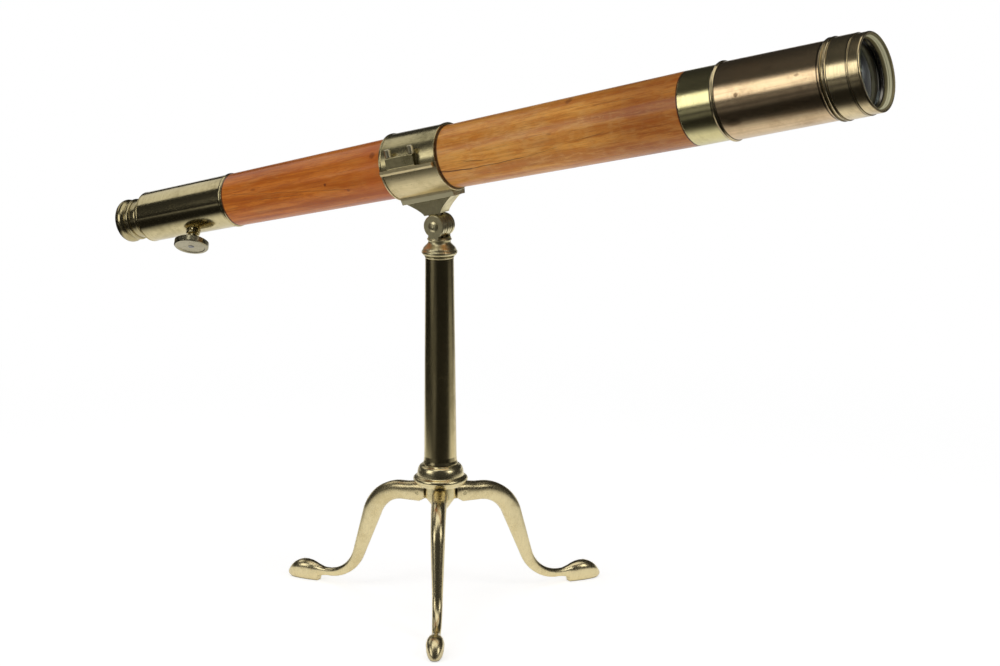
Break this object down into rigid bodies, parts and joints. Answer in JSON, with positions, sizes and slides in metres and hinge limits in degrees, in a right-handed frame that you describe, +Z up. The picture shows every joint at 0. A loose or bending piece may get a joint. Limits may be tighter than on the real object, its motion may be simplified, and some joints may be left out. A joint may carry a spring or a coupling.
{
  "type": "refracting table telescope on a folding tripod",
  "caption": "Brass and fruitwood table telescope on a tapered pillar with folding cabriole legs, a compass joint, rack focusing and a sliding shade.",
  "frame": {"origin": "on the plane that the feet stand on, midway along the overall length and on the middle plane of the tube", "axes": "+Z up, +X along the level direction of the tube towards the object glass"},
  "size_m": [0.7681, 0.2892, 0.5409],
  "materials": {
    "polished_brass": "polished, lightly aged",
    "bright_brass": "bright polished",
    "lacquered_brass": "dark lacquered",
    "fruitwood": "French polished",
    "lens_glass": "clear, polished",
    "blackened": "dull black",
    "steel": "bright"
  },
  "bodies": {
    "stand": {"tripod_head": "polished_brass", "pillar": "polished_brass", "pillar_socket": "bright_brass", "leg_hinge_pins": "polished_brass"},
    "rear_leg": {"leg_rear": "polished_brass"},
    "left_leg": {"leg_left": "polished_brass"},
    "right_leg": {"leg_right": "polished_brass"},
    "head": {"joint_head": "polished_brass", "spindle_washer": "polished_brass", "spindle_nut": "polished_brass", "joint_pin": "polished_brass", "joint_nut": "polished_brass"},
    "tube": {"joint_block": "polished_brass", "saddle_screws": "steel", "collar_lower": "polished_brass", "collar_upper": "polished_brass", "clamp_screws": "bright_brass", "wood_barrel": "fruitwood", "barrel_stop": "blackened", "eye_body": "polished_brass", "front_bush": "polished_brass", "rear_bush": "polished_brass", "pinion_bush": "polished_brass", "object_tube": "bright_brass", "object_cell": "blackened", "crown_lens": "lens_glass", "flint_lens": "lens_glass", "lens_ring": "blackened"},
    "draw": {"draw_tube": "polished_brass", "focus_rack": "polished_brass", "eyepiece_cup": "polished_brass", "eyepiece_tube": "blackened", "eye_lens": "lens_glass", "field_stop": "blackened", "field_lens": "lens_glass", "erector_tube": "blackened", "erector_lens_rear": "lens_glass", "erector_stop": "blackened", "erector_lens_front": "lens_glass"},
    "pinion": {"focus_pinion": "steel", "focus_knob": "polished_brass", "knob_screw": "steel"},
    "shade": {"shade_tube": "lacquered_brass", "shade_rear_ring": "lacquered_brass", "shade_front_ring": "lacquered_brass"}
  },
  "joints": [
    {"name": "rear_leg_fold", "type": "hinge", "parent": "stand", "child": "rear_leg", "pos_m": [-0.05507, 0, 0.1015], "axis": [0, -1, 0], "range_deg": [0, 50]},
    {"name": "left_leg_fold", "type": "hinge", "parent": "stand", "child": "left_leg", "pos_m": [-0.02357, 0.01819, 0.1015], "axis": [-0.866, 0.5, 0], "range_deg": [0, 50]},
    {"name": "right_leg_fold", "type": "hinge", "parent": "stand", "child": "right_leg", "pos_m": [-0.02357, -0.01819, 0.1015], "axis": [0.866, 0.5, 0], "range_deg": [0, 50]},
    {"name": "azimuth", "type": "hinge", "parent": "stand", "child": "head", "pos_m": [-0.03407, 0, 0.318], "axis": [0, 0, 1], "continuous": true},
    {"name": "altitude", "type": "hinge", "parent": "head", "child": "tube", "pos_m": [-0.03407, 0, 0.346], "axis": [0, -1, 0], "range_deg": [-44, 45]},
    {"name": "focus_slide", "type": "slide", "parent": "tube", "child": "draw", "axis": [-0.969, 0, -0.247], "range_m": [0, 0.03]},
    {"name": "pinion_spin", "type": "hinge", "parent": "tube", "child": "pinion", "pos_m": [-0.29789, 0, 0.33727], "axis": [-0.2095, 0.5299, 0.8218], "range_deg": [0, 360]},
    {"name": "shade_slide", "type": "slide", "parent": "tube", "child": "shade", "axis": [0.969, 0, 0.247], "range_m": [0, 0.07]}
  ],
  "couplings": [
    {"joint": "pinion_spin", "follows": "focus_slide", "rad_per_m": 208.33}
  ]
}
